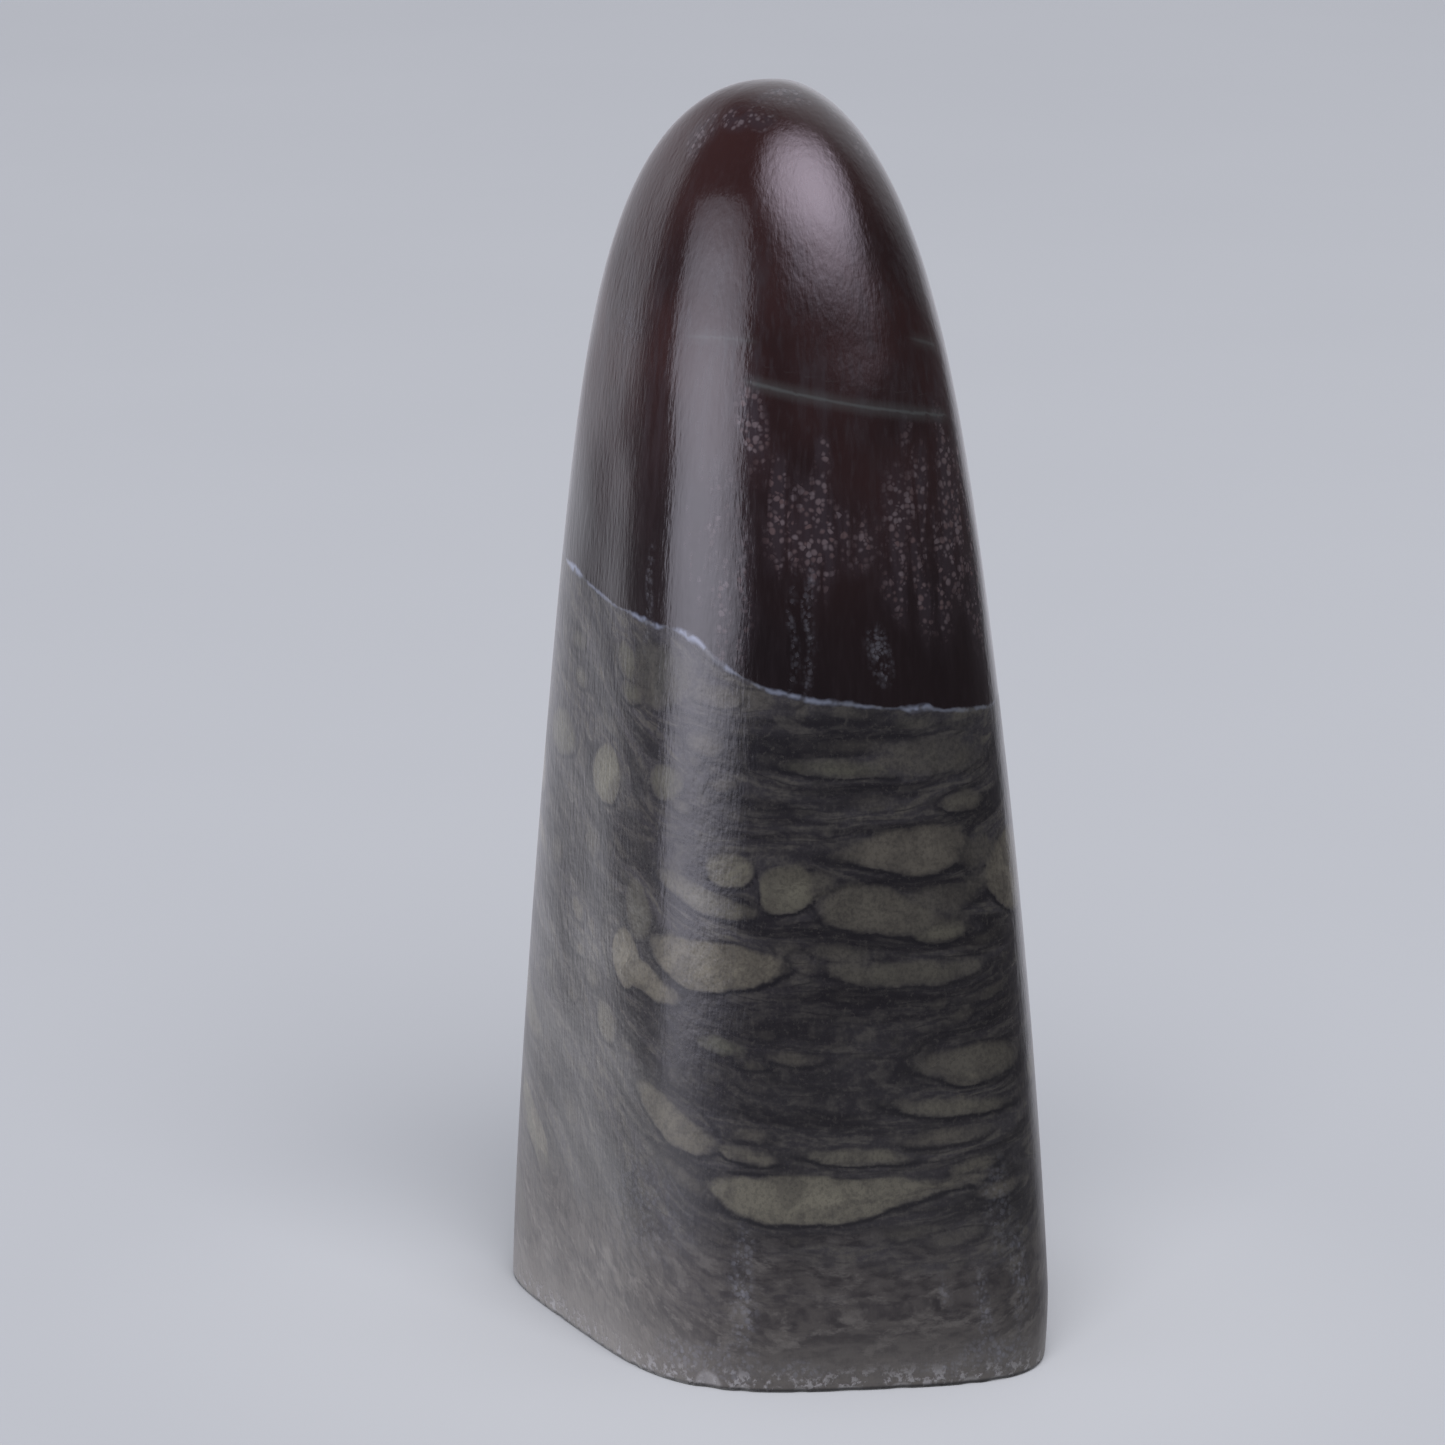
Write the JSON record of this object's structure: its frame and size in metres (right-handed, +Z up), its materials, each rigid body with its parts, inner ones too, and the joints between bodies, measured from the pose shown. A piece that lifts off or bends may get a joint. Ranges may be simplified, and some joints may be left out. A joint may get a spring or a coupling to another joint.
{
  "type": "liver jade",
  "caption": "Polished standing stone: four soft faces lean in from a flat sawn foot to a blunt domed tip. An ornament or specimen that stands upright by itself.",
  "frame": {"origin": "bottom centre of the stone's box, on the surface that it stands on", "axes": "+Z up along the stone's length, -Y out of the broad front face, +X to the right of that face and across the narrowest width"},
  "size_m": [0.0378, 0.0398, 0.095],
  "materials": {
    "polished_stone": "polished, with brown red and grey green veining"
  },
  "bodies": {
    "root": {"liver_jade_stone": "polished_stone"}
  },
  "joints": []
}
